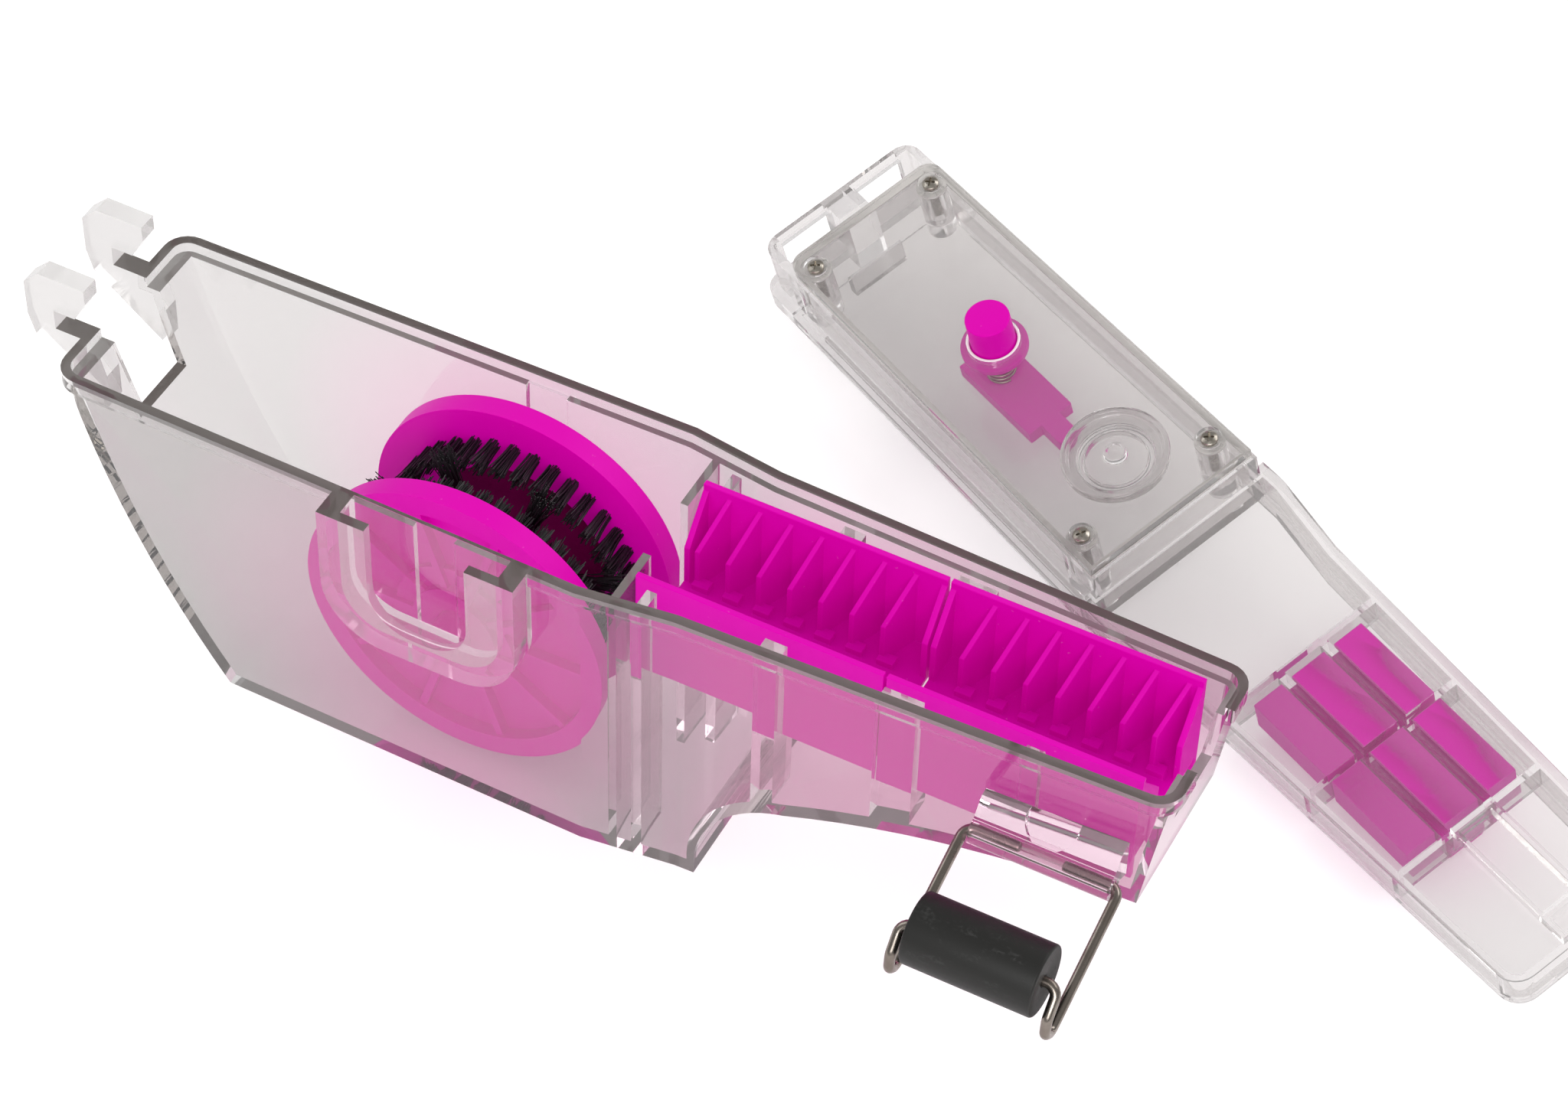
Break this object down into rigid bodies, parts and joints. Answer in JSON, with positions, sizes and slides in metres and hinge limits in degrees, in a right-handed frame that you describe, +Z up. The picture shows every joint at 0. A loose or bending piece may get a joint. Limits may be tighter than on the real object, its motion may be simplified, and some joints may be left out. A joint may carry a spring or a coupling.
{
  "type": "bicycle chain cleaner",
  "caption": "Hand-held bicycle chain cleaner: clear tank with brush wheel and comb inserts, swinging bail with roller, and a clear lid with reservoir, push button and filler cap.",
  "frame": {"origin": "on the tank's flat base, in its middle plane, straight below the brush wheel's axle", "axes": "+X along the tank from the hook end to the bail end, +Y from the front wall with the bail to the back wall, +Z up"},
  "size_m": [0.31, 0.2142, 0.083],
  "materials": {
    "clear_plastic": "clear moulded polycarbonate, polished",
    "magenta_plastic": "moulded, semi-gloss",
    "drum_plastic": "moulded, satin",
    "black_bristle": "nylon filament",
    "steel_wire": "drawn stainless wire",
    "spring_steel": "drawn wire",
    "screw_steel": "plated",
    "black_rubber": "smooth moulded rubber with scuffs",
    "gasket_rubber": "translucent silicone",
    "white_seal": "white silicone"
  },
  "bodies": {
    "tank": {"tank": "clear_plastic", "bail_bracket": "clear_plastic", "comb_insert_1": "magenta_plastic", "comb_insert_2": "magenta_plastic"},
    "wheel": {"wheel_disc_front": "magenta_plastic", "wheel_disc_back": "magenta_plastic", "wheel_drum": "drum_plastic", "wheel_axle": "magenta_plastic", "disc_tufts_front": "black_bristle", "disc_tufts_back": "black_bristle", "drum_tufts": "black_bristle"},
    "bail": {"bail_wire": "steel_wire"},
    "roller": {"roller": "black_rubber"},
    "lid": {"lid_shell": "clear_plastic", "cover_plate": "clear_plastic", "cover_gasket": "gasket_rubber", "screw_1": "screw_steel", "screw_2": "screw_steel", "screw_3": "screw_steel", "screw_4": "screw_steel", "button_seal": "white_seal", "button_spring": "spring_steel", "valve_block": "magenta_plastic", "lid_comb_1": "magenta_plastic", "lid_comb_2": "magenta_plastic"},
    "button": {"button": "magenta_plastic"},
    "filler_cap": {"filler_cap": "clear_plastic"}
  },
  "joints": [
    {"name": "wheel_spin", "type": "hinge", "parent": "tank", "child": "wheel", "pos_m": [0, 0, 0.0363], "axis": [0, 1, 0], "continuous": true},
    {"name": "bail_swing", "type": "hinge", "parent": "tank", "child": "bail", "pos_m": [0.1237, -0.0225, 0.05], "axis": [-1, 0, 0], "range_deg": [-71, 82]},
    {"name": "roller_spin", "type": "hinge", "parent": "bail", "child": "roller", "pos_m": [0.1237, -0.04784, 0.05111], "axis": [1, 0, 0], "continuous": true},
    {"name": "lid_lift", "type": "slide", "parent": "tank", "child": "lid", "axis": [0, 0, 1], "range_m": [0, 0.1]},
    {"name": "button_press", "type": "slide", "parent": "lid", "child": "button", "axis": [0.1227, 0.2429, -0.9623], "range_m": [0, 0.0025], "stiffness_N_per_m": 400, "springref_m": -0.003, "deforming": ["button_spring"]},
    {"name": "filler_cap_pull", "type": "slide", "parent": "lid", "child": "filler_cap", "axis": [-0.1227, -0.2429, 0.9623], "range_m": [0, 0.02]}
  ]
}
